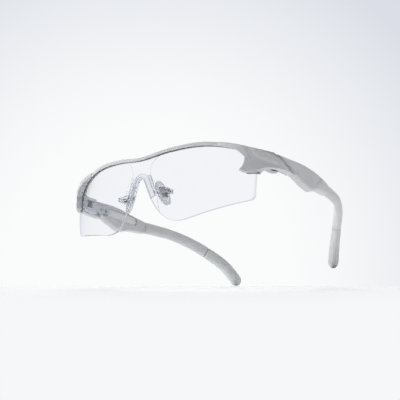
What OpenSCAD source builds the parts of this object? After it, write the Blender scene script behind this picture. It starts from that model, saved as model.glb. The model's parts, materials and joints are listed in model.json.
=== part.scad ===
// Half-rim sports glasses with one clear wrap lens, folding temples and rocking nose pads.
// Frame: X across the face (+X is the wearer's left), Y from front to back, Z up.
// The glasses stand on the lens's two lowest points and on the two ear tips, at Z = 0.

/* [Lens] */
// Radius of the lens's front surface across the face
lens_rh = 86; // [84:1:92]
// Radius of the lens's front surface from top to bottom
lens_rv = 97; // [92:1:115]
// Thickness of the lens
lens_t = 1.6; // [1.4:0.1:1.9]
// Height of the lens's most forward point
lens_mid_z = 16; // [13:1:19]
// Distance from the temples' outer faces in to the lens's sides, at the hooks
lens_side_in = 9.3; // [8.9:0.1:10]
// Distance of the lens's lowest points from the centre line
lens_low_x = 21.2; // [19:0.2:24]
// Distance from the lens's side in to its lower outer corner
lens_corner_in = 0.9; // [0.4:0.1:2.4]
// Height of the lower outer corner
lens_corner_z = 8.8; // [7:0.2:11]
// Rounding of the lower outer corner
lens_corner_r = 3.4; // [2:0.2:4.6]
// Depth of the step round each optical zone
zone_step = 0.25; // [0.15:0.05:0.4]

/* [Nose cut] */
// Height of the top of the nose cut
nose_top_z = 26.6; // [25:0.2:28]
// Radius of the arch at the top of the nose cut
nose_arch_r = 2.5; // [2.1:0.1:2.8]
// Half width of the nose cut where its sides end
nose_foot_x = 12.6; // [11.8:0.2:13.6]
// Height at which the sides of the nose cut end
nose_foot_z = 4.2; // [3.6:0.2:5.4]

/* [Brow] */
// Height of the brow bar's top edge on the centre line
brow_mid_z = 38; // [37.6:0.1:38.4]
// Height of the brow bar's top edge at its highest place
brow_peak_z = 41.7; // [41.2:0.1:42.4]
// Distance of that highest place from the centre line
brow_peak_x = 31; // [29:0.5:34]
// Height of the brow bar on the centre line
bar_h_mid = 1.8; // [1.6:0.1:2.4]
// Height of the brow bar at its highest place
bar_h_peak = 2.3; // [2:0.1:3]
// Wall of the brow bar in front of the lens
bar_front = 0.7; // [0.5:0.1:1]
// Wall of the brow bar behind the lens
bar_back = 0.6; // [0.5:0.1:1]
// How far the lens's top edge sits in the bar
groove_depth = 0.9; // [0.6:0.1:1.1]
// Clearance round the lens in its groove
groove_gap = 0.08; // [0.05:0.01:0.12]

/* [Hooks and endpieces] */
// Lower end of the hook that holds the lens's side
hook_z = 22.8; // [21.6:0.2:24]
// Length of the hook's toe inside the lens's side
hook_len = 5.1; // [4.3:0.2:6.5]
// Distance of the temples' outer faces from the centre line
out_x = 67.2; // [67:0.1:67.8]
// Radius of the shoulders at the front's ends, seen from above
turn_r = 29; // [28:0.25:30]
// Distance from a shoulder's centre out to where it leaves the bar's front
turn_start = 3.3; // [2.8:0.1:3.8]
// Wall of the endpiece
end_t = 3.4; // [3:0.1:3.8]
// Height of the endpiece's top edge
end_top_z = 34.8; // [34.6:0.1:35.2]
// Height of the endpiece's lower edge
end_low_z = 26.5; // [26.2:0.1:26.8]
// Distance of the slit's upper end in front of the shoulder's end
slit_top_ahead = 6.6; // [5.8:0.2:7.4]
// Distance of the slit's lower end behind the shoulder's end
slit_low_behind = 10; // [7.6:0.2:11.6]
// Width of the slit between endpiece and temple
slit_gap = 0.9; // [0.7:0.1:1.3]
// Radius of the scoop in each shoulder
scoop_r = 35; // [32:1:40]
// Depth of that scoop
scoop_depth = 2.3; // [1.6:0.1:2.5]

/* [Hinges] */
// Distance from the temples' outer faces in to each hinge axis
hinge_in = 7.2; // [7:0.1:7.4]
// Distance of each hinge axis in front of the shoulder's end
hinge_ahead = 1.4; // [0.9:0.1:1.9]
// Height of the middle of each hinge
hinge_z = 30.2; // [30:0.1:30.4]
// Radius of the hinge eyes
eye_r = 2.2; // [2:0.1:2.3]
// Radius of the hinge pin
pin_r = 0.8; // [0.7:0.05:1]
// Running clearance round the hinge pin
pin_gap = 0.04; // [0.02:0.01:0.08]
// Height of the temple's knuckle
knuckle_h = 4; // [3.6:0.1:4.2]
// Thickness of each eye of the bracket
eye_t = 1.7; // [1.5:0.1:1.8]
// Clearance between knuckle and eyes
eye_gap = 0.12; // [0.08:0.02:0.2]
// Clearance of the pocket that the temple has round the eyes
pocket_gap = 0.4; // [0.35:0.05:0.5]
// Radius of the small screws
screw_r = 0.7; // [0.6:0.05:0.8]

/* [Temples] */
// Distance from each hinge axis to the temple's inner face
knuckle_out = 1.6; // [1.4:0.1:1.7]
// Height of the temple's top edge over its deepest place
temple_top_z = 36; // [35.8:0.1:36.4]
// Height of the temple's lowest edge
temple_low_z = 22.4; // [21.4:0.2:23.4]
// Distance of that lowest edge behind the hinge
temple_low_len = 28.5; // [25:0.5:31]
// Length of the shell behind the hinge
shell_len = 51; // [49:0.5:54]
// Radius by which the shell bends inwards behind its deepest place
bend_r = 113; // [100:1:140]
// Length of the soft inlay
inlay_len = 29; // [25:0.5:29.5]
// Height of the soft inlay
inlay_h = 4.8; // [4:0.1:5.2]
// Depth at which the inlay is seated
inlay_t = 1; // [0.8:0.1:1.2]

/* [Stems and tips] */
// Height of the stem
stem_h = 7.2; // [6.6:0.1:7.4]
// Thickness of the stem
stem_t = 4.8; // [4.4:0.1:5]
// Width of the ear tip at its end
tip_w = 7; // [6.4:0.1:7.4]
// Thickness of the ear tip
tip_t = 5.4; // [5:0.1:5.8]
// Distance from the temples' outer faces in to the ear tip's end
tip_in = 33; // [27.2:0.2:35]
// Distance of the ear tip's end from the front
tip_y = 146.4; // [143:0.2:150]
// Radius of the steel core of the stem
core_r = 0.9; // [0.7:0.05:1.1]
// Length of the steel core
core_len = 30; // [24:0.5:34]

/* [Nose pads] */
// Length of a nose pad
pad_len = 15; // [13:0.5:16]
// Width of a nose pad
pad_w = 7; // [6:0.2:7.4]
// Thickness of a nose pad
pad_t = 2.8; // [2.6:0.1:3.2]
// Distance of a pad's middle from the centre line
pad_x = 10.2; // [9.8:0.1:10.6]
// Distance of a pad's middle from the front
pad_y = 7.8; // [7.6:0.1:8.2]
// Height of a pad's middle
pad_z = 17.5; // [16.6:0.1:18.4]
// Lean of the pads, outwards at the foot
pad_lean = 22; // [18:0.5:26]
// Splay of the pads, outwards at the back
pad_splay = 26; // [22:0.5:30]
// Radius of the pin that a pad rocks on
pad_pin_r = 0.6; // [0.5:0.05:0.7]
// Width of the clear carrier round the nose cut
carrier_w = 2.3; // [1.9:0.1:2.5]

/* [Hidden] */

white = [0.93, 0.94, 0.95];
clear = [0.80, 0.83, 0.90, 0.35];
silicone = [0.72, 0.77, 0.77, 0.7];
steel = [0.55, 0.57, 0.6];

// Segments of large round surfaces, and of small ones
fine = 180;
small = 40;
// Sides of the lofted stems and pads
sides = 16;
// A cut runs past the face that it cuts by this much
past = 1;

// The lens's front lies this far behind the frame's foremost face
front_y = bar_front;
// The upright axis that the front is turned about
axis_y = front_y + lens_rh;
turn_cx = out_x - turn_r;
// The shoulder's circle meets the bar's front at turn_start from its centre
turn_cy = axis_y - sqrt(pow(lens_rh + bar_front, 2) - pow(turn_cx + turn_start, 2))
    + sqrt(pow(turn_r, 2) - pow(turn_start, 2));
hinge_x = out_x - hinge_in;
hinge_y = turn_cy - hinge_ahead;
tip_x = out_x - tip_in;
lens_side_x = out_x - lens_side_in;
lens_corner_x = lens_side_x - lens_corner_in;
hook_toe_x = lens_side_x - hook_len;
slit_top_y = turn_cy - slit_top_ahead;
slit_low_y = turn_cy + slit_low_behind;
temple_low_y = hinge_y + temple_low_len;
shell_end_y = hinge_y + shell_len;
// The front's own wall ends inside the shoulders, where half their wall covers it
front_a = asin((out_x - end_t) / axis_y);
bar_d = bar_front + lens_t + 2 * groove_gap + bar_back;
// Ends of the ear tips, and the middle of the whole
tip_r = tip_w / 2;
back_y = tip_y + 0.95 * tip_r;
// Foremost edge of the lens, beside the nose cut
nose_side_x = 0.43 * nose_foot_x;
lens_edge_y = axis_y - sqrt(pow(lens_rh, 2) - pow(nose_side_x, 2));
mid_y = (lens_edge_y + back_y) / 2;

// Corners of a cut that must not show its end are this much larger
spare = 2;

// Inner face of the temples
inner_x = hinge_x + knuckle_out;
pocket_r = eye_r + pocket_gap;
eye_top = hinge_z + knuckle_h / 2 + eye_gap;
eye_low = hinge_z - knuckle_h / 2 - eye_gap;

// Points

function unit(v) = v / norm(v);
// A right half of an outline, and the whole
function both(pts) = concat(pts, [for (i = [len(pts) - 1:-1:0]) [-pts[i][0], pts[i][1]]]);

// An arc of radius r that rounds the corner b between a and c
function corner(a, b, c, r, n = 6) =
    let (u = unit(a - b), v = unit(c - b), half = acos(u * v) / 2,
         m = b + unit(u + v) * r / sin(half),
         s = b + u * r / tan(half) - m, e = b + v * r / tan(half) - m,
         a0 = atan2(s[1], s[0]), turn = atan2(e[1], e[0]) - a0,
         sweep = turn > 180 ? turn - 360 : turn < -180 ? turn + 360 : turn)
    [for (i = [0:n]) m + r * [cos(a0 + sweep * i / n), sin(a0 + sweep * i / n)]];

// One smooth curve through all points, n steps between two points
function through(p, n = 6) =
    let (m = len(p) - 1,
         a = [for (i = [0:m]) i == 0 ? (p[1] - p[0]) / 2 : i == m ? (p[m] - p[m - 1]) / 2
                                     : (p[i + 1] - p[i - 1]) / 2])
    concat([for (i = [0:m - 1], k = [0:n - 1])
                let (t = k / n, t2 = t * t, t3 = t2 * t)
                (2 * t3 - 3 * t2 + 1) * p[i] + (t3 - 2 * t2 + t) * a[i]
                + (3 * t2 - 2 * t3) * p[i + 1] + (t3 - t2) * a[i + 1]], [p[m]]);

// The path pts moved sideways by d, to the left of its direction
function beside(pts, d) =
    [for (i = [0:len(pts) - 1])
        let (t = unit(pts[min(i + 1, len(pts) - 1)] - pts[max(i - 1, 0)]))
        pts[i] + d * [-t[1], t[0]]];

// Height on a curve of [y, z] points
function height(pts, y) = lookup(y, pts);

// Outlines, seen from the front, as [x, z]

// Right half of the nose cut, from the top down: an arch, a side and the rounded foot
nose_arch_end = 22;
nose_curve = concat(
    [for (i = [0:5])
        let (a = 90 - (90 - nose_arch_end) * i / 6)
        [nose_arch_r * cos(a), nose_top_z - nose_arch_r + nose_arch_r * sin(a)]],
    through([[nose_arch_r * cos(nose_arch_end), nose_top_z - nose_arch_r * (1 - sin(nose_arch_end))],
        nose_point(0.36, 0.67), nose_point(0.5, 0.47), nose_point(0.74, 0.2), nose_point(1, 0),
        [(nose_foot_x + lens_low_x) / 2, nose_foot_z * 0.2], [lens_low_x, 0]], 4));
function nose_point(u, v) = [nose_foot_x * u, nose_foot_z + (nose_top_z - nose_foot_z) * v];

brow_top = through([[-brow_peak_x / 2, (brow_mid_z + brow_peak_z) / 2 + 0.2], [0, brow_mid_z],
    [brow_peak_x / 2, (brow_mid_z + brow_peak_z) / 2 + 0.4], [brow_peak_x, brow_peak_z],
    [brow_peak_x + 11, brow_peak_z - 0.9], [lens_side_x - 6, (brow_peak_z + end_top_z) / 2],
    [lens_side_x + 3, end_top_z + 0.8], [out_x + past, end_top_z]], 6);
brow_half = [for (p = brow_top) if (p[0] >= 0) p];

// Lower edge of the bar: it follows the top edge and ends in the opening's round corner
function bar_h(x) = lookup(x, [[0, bar_h_mid], [brow_peak_x, bar_h_peak], [out_x, bar_h_peak + 0.7]]);
open_corner_x = hook_toe_x + 2.3;
bar_low = [for (p = brow_half) if (p[0] < open_corner_x - 6) [p[0], p[1] - bar_h(p[0])]];
bar_end = bar_low[len(bar_low) - 1];
open_side = through([bar_end, [open_corner_x - 3, bar_end[1] - 2.4], [open_corner_x - 0.4, bar_end[1] - 5.4],
    [open_corner_x, hook_z + 7], [open_corner_x - 0.7, hook_z + 3.2], [hook_toe_x, hook_z + 0.7]], 4);
hook_out_x = lens_side_x + 0.7;
hook_side = through([[out_x - 3.4, end_low_z], [hook_out_x + 2.6, end_low_z - 0.7],
    [hook_out_x + 0.6, hook_z + 1.6], [hook_out_x, hook_z]], 4);
frame_half = concat(brow_half, [[out_x + past, end_low_z]], hook_side, [[hook_toe_x + 0.5, hook_z]],
    [for (i = [len(open_side) - 1:-1:1]) open_side[i]],
    [for (i = [len(bar_low) - 1:-1:0]) bar_low[i]]);
// The part of that outline that the shoulders fill
shoulder_x = turn_cx + 2.6;
shoulder_half = [for (p = frame_half) if (p[0] >= shoulder_x) p];

// The lens's edge; grow makes it larger inside the frame, for its groove
function lens_half(grow) = concat(
    [for (p = bar_low) [p[0], p[1] + groove_depth + grow]],
    [[open_corner_x + 0.8 + grow, bar_end[1] - 1.4 + grow],
     [lens_side_x + 0.8 + grow, hook_z + 6 + grow], [lens_side_x + 0.8 + grow, hook_z + 1],
     [lens_side_x + (grow > 0 ? 0.8 + grow : 0), hook_z - (grow > 0 ? past : 0.2)]],
    corner([lens_side_x, hook_z], [lens_corner_x, lens_corner_z], [lens_low_x + 5, 0.5], lens_corner_r),
    [[lens_low_x + 6, 0.85], [lens_low_x + 3, 0.2]],
    [for (i = [len(nose_curve) - 1:-1:0]) nose_curve[i]]);

// Each optical zone: the lens beyond a contour beside the nose
zone_contour = through([[14, brow_mid_z + 1.2], [8.7, brow_mid_z - 1.9], [5.6, brow_mid_z - 7],
    [6.6, nose_top_z - 0.8], [9.2, nose_top_z - 5], [10.2, nose_foot_z + 8],
    [nose_foot_x - 1.4, nose_foot_z]], 5);

// Round surfaces that the front is made of

// Section of a wall: out lies outside the lens's front, t is the wall; r is the radius of the turn
module wall_2d(r, out, t, z0, z1) {
    intersection() {
        translate([r - lens_rv, lens_mid_z]) difference() {
            circle(r = lens_rv + out, $fn = fine);
            circle(r = lens_rv + out - t, $fn = fine);
        }
        translate([r - turn_r / 2, z0]) square([turn_r, z1 - z0]);
    }
}

// The wrapped wall of the front, between two heights
module front_wall(out, t, half_a, z0 = -past, z1 = brow_peak_z + past) {
    translate([0, axis_y, 0]) rotate([0, 0, -90 - half_a])
        rotate_extrude(angle = 2 * half_a, $fn = fine) wall_2d(lens_rh, out, t, z0, z1);
}

// An outline, seen from the front, through the whole depth of the front
module through_front(pts) {
    translate([0, axis_y, 0]) rotate([90, 0, 0]) linear_extrude(axis_y + past) polygon(pts);
}

// An outline, seen from the side as [y, z], between two distances from the centre line
module through_side(pts, x0, x1) {
    translate([x0, 0, 0]) rotate([90, 0, 90]) linear_extrude(x1 - x0) polygon(pts);
}

// The shoulder that turns the left end of the front backwards, and the straight wall behind it
shoulder_start_a = 84;
module shoulder() {
    translate([turn_cx, turn_cy, 0]) rotate([0, 0, -shoulder_start_a])
        rotate_extrude(angle = shoulder_start_a, $fn = fine)
            wall_2d(turn_r, 0, end_t, hook_z - past, brow_peak_z);
}

module straight_side() {
    length = slit_low_y + past - turn_cy;
    translate([turn_cx, turn_cy + length, 0]) rotate([90, 0, 0]) linear_extrude(length)
        wall_2d(turn_r, 0, end_t, hook_z - past, brow_peak_z);
}

// The concave scoop below the shoulder's crease: a round cut that slopes down towards the slit
scoop_a = 32.5;
scoop_slope = 6.7;
scoop_z = hook_z + 3.2;
module scoop() {
    sag = lens_rv - sqrt(pow(lens_rv, 2) - pow(scoop_z - lens_mid_z, 2));
    translate([turn_cx, turn_cy, scoop_z]) rotate([0, 0, -scoop_a])
        translate([turn_r - sag + scoop_r - scoop_depth, 0, 0]) rotate([-90 - scoop_slope, 0, 0])
            cylinder(r = scoop_r, h = 2 * turn_r, center = true, $fn = fine);
}

// The space inside the shoulder, less a gap
module inside_shoulder(gap) {
    translate([turn_cx, turn_cy, 0]) rotate([0, 0, -90]) rotate_extrude(angle = 90, $fn = fine)
        inside_2d(turn_r, -end_t - gap);
}

// The space behind the front's own wall, less a gap
module inside_front(gap) {
    sweep = 30;
    translate([0, axis_y, 0]) rotate([0, 0, front_a - 90 - sweep / 2])
        rotate_extrude(angle = sweep, $fn = fine) inside_2d(lens_rh, bar_front - bar_d - gap);
}

module inside_2d(r, out) {
    intersection() {
        translate([r - lens_rv, lens_mid_z]) circle(r = lens_rv + out, $fn = fine);
        translate([r - turn_r, hook_z]) square([turn_r, end_top_z - hook_z + spare]);
    }
}

// The pocket round a hinge's eyes
module hinge_pocket() {
    translate([hinge_x, hinge_y, 0]) cylinder(r = pocket_r, h = brow_peak_z, $fn = small);
}

// The temple's outer face at height z
function outer_x(z) = out_x - lens_rv + sqrt(pow(lens_rv, 2) - pow(z - lens_mid_z, 2));

// A solid through rings of equal count, each a list of 3-D points
module loft(rings) {
    n = len(rings[0]);
    m = len(rings);
    function mean(r) = [for (k = [0:2]) [for (p = r) p[k]] * [for (p = r) 1 / n]];
    pts = concat([for (r = rings) each r], [mean(rings[0]), mean(rings[m - 1])]);
    polyhedron(pts, concat(
        [for (i = [0:m - 2], j = [0:n - 1]) [i * n + j, i * n + (j + 1) % n, (i + 1) * n + (j + 1) % n]],
        [for (i = [0:m - 2], j = [0:n - 1]) [i * n + j, (i + 1) * n + (j + 1) % n, (i + 1) * n + j]],
        [for (j = [0:n - 1]) [m * n, (j + 1) % n, j]],
        [for (j = [0:n - 1]) [m * n + 1, (m - 1) * n + j, (m - 1) * n + (j + 1) % n]]));
}

// A rounded section of height h and thickness t, in the plane of side and up
function ring(c, side, up, h, t, square = 0.8) =
    [for (j = [0:sides - 1])
        let (a = 360 * j / sides, cs = cos(a), sn = sin(a))
        c + side * t / 2 * sign(cs) * pow(abs(cs), square) + up * h / 2 * sign(sn) * pow(abs(sn), square)];

module mirrored() {
    mirror([1, 0, 0]) children();
}

// From the front's own place to the frame of the whole
module placed() {
    translate([0, -mid_y, 0]) children();
}

// The front

// How far behind the front the slit lies at height z
slit_top_z = end_top_z + 0.4;
function slit_y(z) = slit_top_y + (slit_low_y - slit_top_y) * (slit_top_z - z) / (slit_top_z - end_low_z);

// Everything in front of the left slit
module before_slit() {
    high = brow_peak_z + past;
    through_side([[-past, 0], [slit_y(0), 0], [slit_y(high), high], [-past, high]], turn_cx, out_x + past);
}

module brow_frame() {
    color(white) placed() difference() {
        union() {
            intersection() {
                front_wall(bar_front, bar_d, front_a);
                through_front(both(frame_half));
            }
            for (s = [0, 1]) mirror([s, 0, 0]) {
                intersection() {
                    shoulder();
                    through_front(shoulder_half);
                    before_slit();
                }
                intersection() {
                    straight_side();
                    before_slit();
                    through_side([[turn_cy - past, end_low_z], [slit_low_y + past, end_low_z],
                        [slit_low_y + past, end_top_z], [turn_cy - past, end_top_z]], turn_cx, out_x + past);
                }
                side_key();
            }
        }
        intersection() {
            front_wall(groove_gap, lens_t + 2 * groove_gap, front_a + 1);
            through_front(both(lens_half(groove_gap)));
        }
        for (s = [0, 1]) mirror([s, 0, 0]) {
            bracket_screw_place() translate([0, 0, -past])
                cylinder(r = screw_r + 0.05, h = screw_depth + past, $fn = small);
            hinge_pocket();
            scoop();
        }
    }
}

// A core inside the wall, which ties the shoulder to the straight side
module side_key() {
    key = [end_t / 3, 2, knuckle_h / 2];
    translate([out_x - end_t * 0.85, turn_cy - key[1] / 2, end_low_z + 1]) cube(key);
}

module shield_lens() {
    color(clear) placed() difference() {
        intersection() {
            front_wall(0, lens_t, front_a);
            through_front(both(lens_half(0)));
        }
        for (s = [0, 1]) mirror([s, 0, 0]) intersection() {
            front_wall(zone_step - lens_t, 2 * zone_step, front_a + 1);
            through_front(concat(zone_contour, [[lens_low_x, -past], [out_x, -past],
                [out_x, brow_peak_z], [16, brow_peak_z]]));
        }
    }
}

// Nose bridge and pads

function back_to_front(pts) = [for (i = [len(pts) - 1:-1:0]) pts[i]];
// Right half of the nose cut's edge, down to height z
function nose_edge(z) = [for (p = nose_curve) if (p[1] >= z) p];

// Half angle of the walls that the bridge and the pad arms are cut from
bridge_a = 14;
carrier_t = 1.5;
// Gap between pieces that are fixed to each other
seat_gap = 0.1;

// The clear saddle behind the lens, round the nose cut
module nose_bridge() {
    overhang = 0.2;
    half = nose_edge(pad_z - 3.4);
    edge = concat([for (i = [len(half) - 1:-1:1]) [-half[i][0], half[i][1]]], half);
    color(clear) placed() intersection() {
        front_wall(-lens_t - seat_gap, carrier_t, bridge_a);
        through_front(concat(back_to_front(beside(edge, carrier_w)), beside(edge, -overhang)));
    }
}

// The pad's lug and the two ears of the fork that holds it
lug_t = 1.6;
lug_gap = 0.12;
ear_t = 0.7;
ear_r = 1.1;
fork_y = lug_t / 2 + lug_gap;
pad_pin_x = pad_x + pad_t / 2 + ear_r + 1;

// A cylinder along Y about the pin that the left pad rocks on
module pad_disc(r, y0, y1) {
    translate([pad_pin_x, pad_y + y1, pad_z]) rotate([90, 0, 0])
        cylinder(r = r, h = y1 - y0, $fn = small);
}

// Clear strip beside the carrier, with the fork that holds the left pad
module pad_arm() {
    edge = [for (p = nose_edge(pad_z - ear_r - 0.3)) if (p[0] > nose_arch_r * 0.8) p];
    strip_w = 1.2;
    strip_t = 1.1;
    strip_in = carrier_w + 0.2;
    fork_x = pad_pin_x + ear_r + 0.2;
    fork_in_y = front_y + lens_t + 2.6;
    fork_end = fork_x + ear_t;
    color(clear) placed() difference() {
        union() {
            intersection() {
                front_wall(-lens_t - seat_gap, strip_t, bridge_a);
                union() {
                    through_front(concat(back_to_front(beside(edge, strip_in + strip_w)),
                        beside(edge, strip_in)));
                    through_front([[pad_x - 1.6, pad_z - ear_r], [fork_end, pad_z - ear_r],
                        [fork_end, pad_z + ear_r], [pad_x - 2.4, pad_z + ear_r]]);
                }
            }
            translate([fork_x, fork_in_y, pad_z - ear_r])
                cube([ear_t, pad_y + fork_y + ear_t - fork_in_y, 2 * ear_r]);
            for (y = [-fork_y - ear_t, fork_y]) {
                pad_disc(ear_r, y, y + ear_t);
                translate([pad_pin_x, pad_y + y, pad_z - ear_r])
                    cube([fork_x - pad_pin_x + ear_t / 2, ear_t, 2 * ear_r]);
            }
        }
        pad_disc(pad_pin_r + 0.02, -fork_y - ear_t - past, fork_y + ear_t + past);
    }
}

module pad_pins() {
    color(steel) placed() for (s = [0, 1]) mirror([s, 0, 0])
        pad_disc(pad_pin_r, -fork_y - ear_t, fork_y + ear_t);
}

// From a pad's own axes, length along Z and width along Y, to its place on the left
module pad_place() {
    translate([pad_x, pad_y, pad_z]) rotate([0, -pad_lean, 0]) rotate([0, 0, -pad_splay]) children();
}

core_size = [0.9, 3.2, 6.4];
core_x = pad_t / 2 - 0.3 - core_size[0];
lug_h = 1.8;

// The lug's bar, from the pad's core to the pin; grow makes its hole in the pad
module pad_lug(len, grow) {
    translate([pad_x + core_x, pad_y - lug_t / 2 - grow, pad_z - lug_h / 2 - grow])
        cube([len, lug_t + 2 * grow, lug_h + 2 * grow]);
}

module pad_plate(grow) {
    pad_place() translate([core_x - grow, -core_size[1] / 2 - grow, -core_size[2] / 2 - grow])
        cube(core_size + [2 * grow, 2 * grow, 2 * grow]);
}

module pad_core() {
    color(steel) placed() difference() {
        union() {
            pad_plate(0);
            pad_lug(pad_pin_x - pad_x - core_x, 0);
            pad_disc(ear_r, -lug_t / 2, lug_t / 2);
        }
        pad_disc(pad_pin_r + 0.05, -lug_t, lug_t);
    }
}

module nose_pad() {
    rings = 12;
    color(silicone) placed() difference() {
        pad_place() loft([for (i = [0:rings])
            let (v = -cos(180 * (i + 0.35) / (rings + 0.7)), full = pow(1 - pow(abs(v), 2.4), 0.5))
            ring([0, 0, v * pad_len / 2], [0, 1, 0], [1, 0, 0], pad_t * pow(full, 0.6),
                pad_w * full * (1 - 0.1 * v))]);
        pad_plate(seat_gap);
        pad_lug(pad_t, seat_gap);
    }
}

// Hinges, drawn on the left

// Radius of the back of the front's wall, about the lens's upright axis, at height z
back_rv = lens_rv + bar_front - bar_d;
function back_r(z) = lens_rh - lens_rv + sqrt(pow(back_rv, 2) - pow(z - lens_mid_z, 2));

bracket_t = 1.6;
screw_a = asin((hinge_x - 0.2) / back_r(hinge_z));
screw_depth = 2.2;
head_h = 0.6;
head_r = 1.7 * screw_r;

// Out through the wall, from its back, at the bracket's screw
module bracket_screw_place() {
    translate([0, axis_y, hinge_z]) rotate([0, 0, screw_a - 90]) translate([back_r(hinge_z), 0, 0])
        rotate([0, 90, 0]) children();
}

bracket_low = eye_low - eye_t;
bracket_h = eye_top + eye_t - bracket_low;

// The two eyes of the bracket, and the plate by which it is screwed to the front's wall
module hinge_bracket() {
    leaf_len = 9;
    leaf_out = 1.1;
    plate_in = 3.4;
    plate_w = 6;
    plate_low_y = hinge_y - 5.4;
    plate_len = 7.6;
    color(steel) placed() difference() {
        union() {
            for (z = [bracket_low, eye_top]) {
                translate([hinge_x, hinge_y, z]) cylinder(r = eye_r, h = eye_t, $fn = small);
                intersection() {
                    translate([hinge_x - eye_r, hinge_y - leaf_len, z])
                        cube([eye_r + leaf_out, leaf_len, eye_t]);
                    inside_shoulder(seat_gap);
                    inside_front(seat_gap);
                }
            }
            intersection() {
                translate([hinge_x - plate_in, plate_low_y - plate_len, bracket_low])
                    cube([plate_w, plate_len, bracket_h]);
                inside_shoulder(seat_gap);
                inside_front(seat_gap);
                difference() {
                    translate([hinge_x - plate_w, plate_low_y - 1.5 * plate_len, bracket_low])
                        cube([2 * plate_w, 2 * plate_len, bracket_h]);
                    translate([0, axis_y, bracket_low - past])
                        cylinder(r = back_r(hinge_z) - bracket_t, h = bracket_h + 2 * past, $fn = fine);
                }
            }
        }
        translate([hinge_x, hinge_y, bracket_low - past])
            cylinder(r = pin_r + 0.02, h = bracket_h + 2 * past, $fn = small);
        bracket_screw_place() translate([0, 0, -2 * bracket_t])
            cylinder(r = screw_r + 0.05, h = 3 * bracket_t, $fn = small);
    }
}

module bracket_screws() {
    seat = 0.02;
    color(steel) placed() for (s = [0, 1]) mirror([s, 0, 0]) bracket_screw_place() {
        translate([0, 0, -bracket_t - head_h])
            cylinder(r = screw_r, h = bracket_t + head_h + screw_depth - 0.1, $fn = small);
        translate([0, 0, -bracket_t - seat - head_h]) cylinder(r = head_r, h = head_h, $fn = small);
    }
}

module hinge_pin() {
    color(steel) placed() translate([hinge_x, hinge_y, bracket_low]) {
        cylinder(r = pin_r, h = bracket_h, $fn = small);
        translate([0, 0, bracket_h]) cylinder(r = eye_r * 0.7, h = 0.5, $fn = small);
    }
}

arm_len = 14;
arm_t = 2;
knuckle_screws_y = [hinge_y + arm_len - 5.8, hinge_y + arm_len - 1.8];
knuckle_low = hinge_z - knuckle_h / 2;

module temple_knuckle() {
    color(steel) placed() difference() {
        union() {
            translate([hinge_x, hinge_y, knuckle_low]) cylinder(r = eye_r, h = knuckle_h, $fn = small);
            translate([inner_x - arm_t, hinge_y, knuckle_low]) cube([arm_t, arm_len, knuckle_h]);
        }
        translate([hinge_x, hinge_y, knuckle_low - past])
            cylinder(r = pin_r + pin_gap, h = knuckle_h + 2 * past, $fn = small);
        knuckle_screw_holes(screw_r + 0.05, -arm_t - past, past);
    }
}

// Cylinders along X at the knuckle's screws, from x0 to x1 beyond the temple's inner face
module knuckle_screw_holes(r, x0, x1) {
    for (y = knuckle_screws_y) translate([inner_x + x0, y, hinge_z]) rotate([0, 90, 0])
        cylinder(r = r, h = x1 - x0, $fn = small);
}

module knuckle_screws() {
    color(steel) placed() {
        knuckle_screw_holes(screw_r, -arm_t, screw_depth);
        knuckle_screw_holes(head_r, -arm_t - head_h, -arm_t);
    }
}

// Temples, drawn on the left

shell_top = through([[slit_top_y - 3, end_top_z], [slit_top_y + 12, temple_top_z - 0.7],
    [temple_low_y - 6, temple_top_z], [temple_low_y + 6, temple_top_z - 1],
    [shell_end_y, temple_top_z - 3.6]], 6);
shell_low = through([[slit_top_y - 3, end_low_z], [slit_low_y, end_low_z + 0.1],
    [temple_low_y - 9, temple_low_z + 2.1], [temple_low_y, temple_low_z],
    [temple_low_y + 3, temple_low_z + 0.3], [temple_low_y + 9, temple_low_z + 2.1],
    [shell_end_y, temple_low_z + 3]], 6);
bend_y = temple_low_y + 3.5;
function bend(y) = y < bend_y ? 0 : pow(y - bend_y, 2) / (2 * bend_r);

// Section of the temple shell at distance y from the front: flat inside, round outside
in_r = 0.5;
out_r = 1.7;
function outer_arc(y, z, angles) =
    [for (a = angles) [outer_x(z) - bend(y) - out_r + out_r * cos(a), z + out_r * sin(a)]];
function outer_side(y, high, low) =
    [for (k = [0:3]) let (z = high + (low - high) * k / 3) [outer_x(z) - bend(y), z]];
function shell_ring(y) =
    let (top = height(shell_top, y), low = height(shell_low, y), x0 = inner_x - bend(y),
         outline = concat(
            [[x0, low + in_r], [x0, top - in_r], [x0 + in_r, top]],
            outer_arc(y, top - out_r, [90:-22.5:22.5]), outer_side(y, top - out_r, low + out_r),
            outer_arc(y, low + out_r, [-22.5:-22.5:-90]), [[x0 + in_r, low]]))
    [for (i = [len(outline) - 1:-1:0]) [outline[i][0], y, outline[i][1]]];

module temple_shell() {
    stations = 20;
    start = slit_top_y - 2;
    high = temple_top_z + spare;
    slit_drop = slit_top_z - end_low_z;
    shift = slit_gap * norm([slit_low_y - slit_top_y, slit_drop]) / slit_drop;
    notch_y = shell_end_y - 1.8;
    notch_z = temple_top_z - 2.7;
    color(white) placed() difference() {
        loft([for (i = [0:stations]) shell_ring(start + (shell_end_y - start) * i / stations)]);
        through_side([[start - past, 0], [slit_y(0) + shift, 0], [slit_y(high) + shift, high],
            [start - past, high]], inner_x - past, out_x + past);
        through_side([[notch_y, high], [notch_y, notch_z], [shell_end_y + past, notch_z - 3.3],
            [shell_end_y + past, high]], inner_x - bend_depth, out_x + past);
        hinge_pocket();
        knuckle_screw_holes(screw_r + 0.05, -past, screw_depth + 0.1);
        inlay_body(seat_gap);
        core_line(core_r + 0.05, -0.2);
    }
}

inlay_end_y = shell_end_y - 7;
inlay_z = temple_top_z - 4.9;
// The shell's inner face bends inwards by less than this
bend_depth = 4;

// The inlay lies this far below the inner face
inlay_sunk = 0.25;
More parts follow.
